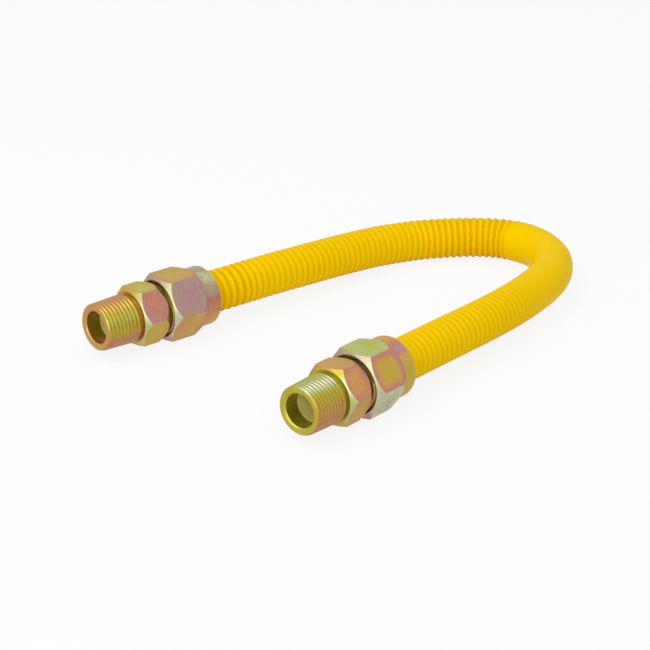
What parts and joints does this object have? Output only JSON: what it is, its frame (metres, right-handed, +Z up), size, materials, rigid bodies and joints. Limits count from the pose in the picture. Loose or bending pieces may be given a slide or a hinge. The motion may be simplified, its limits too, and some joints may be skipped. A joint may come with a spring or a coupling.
{
  "type": "flexible gas hose",
  "caption": "Short yellow-coated corrugated gas hose bent into a U, with a swivelling hexagonal flare nut and a male pipe thread adapter at each end.",
  "frame": {"origin": "middle of the near flare nut's lower flat, which rests on the floor", "axes": "+Z up; +X along the near fitting's axis, from its pipe end towards the hose; the far fitting lies towards +Y"},
  "size_m": [0.222, 0.1447, 0.027],
  "materials": {
    "hose_coating": "glossy golden-yellow plastic coating over corrugated steel",
    "nut_plating": "yellow zinc plating with olive, gold, pink and mauve iridescence",
    "adapter_plating": "yellow zinc plating with yellow-green, ochre and pink iridescence"
  },
  "bodies": {
    "hose": {"corrugated_hose": "hose_coating"},
    "near_nut": {"near_flare_nut": "nut_plating"},
    "near_adapter": {"near_pipe_adapter": "adapter_plating"},
    "far_nut": {"far_flare_nut": "nut_plating"},
    "far_adapter": {"far_pipe_adapter": "adapter_plating"}
  },
  "joints": [
    {"name": "near_nut_turn", "type": "hinge", "parent": "hose", "child": "near_nut", "pos_m": [0, 0, 0.0135], "axis": [1, 0, 0], "range_deg": [0, 1800]},
    {"name": "near_adapter_travel", "type": "slide", "parent": "hose", "child": "near_adapter", "axis": [-1, 0, 0], "range_m": [0, 0.008]},
    {"name": "far_nut_turn", "type": "hinge", "parent": "hose", "child": "far_nut", "pos_m": [0.0068, 0.112, 0.0135], "axis": [0.9871, -0.1599, 0], "range_deg": [0, 1800]},
    {"name": "far_adapter_travel", "type": "slide", "parent": "hose", "child": "far_adapter", "axis": [-0.9871, 0.1599, 0], "range_m": [0, 0.008]}
  ],
  "couplings": [
    {"joint": "near_adapter_travel", "follows": "near_nut_turn", "m_per_rad": 0.00025266},
    {"joint": "far_adapter_travel", "follows": "far_nut_turn", "m_per_rad": 0.00025266}
  ]
}
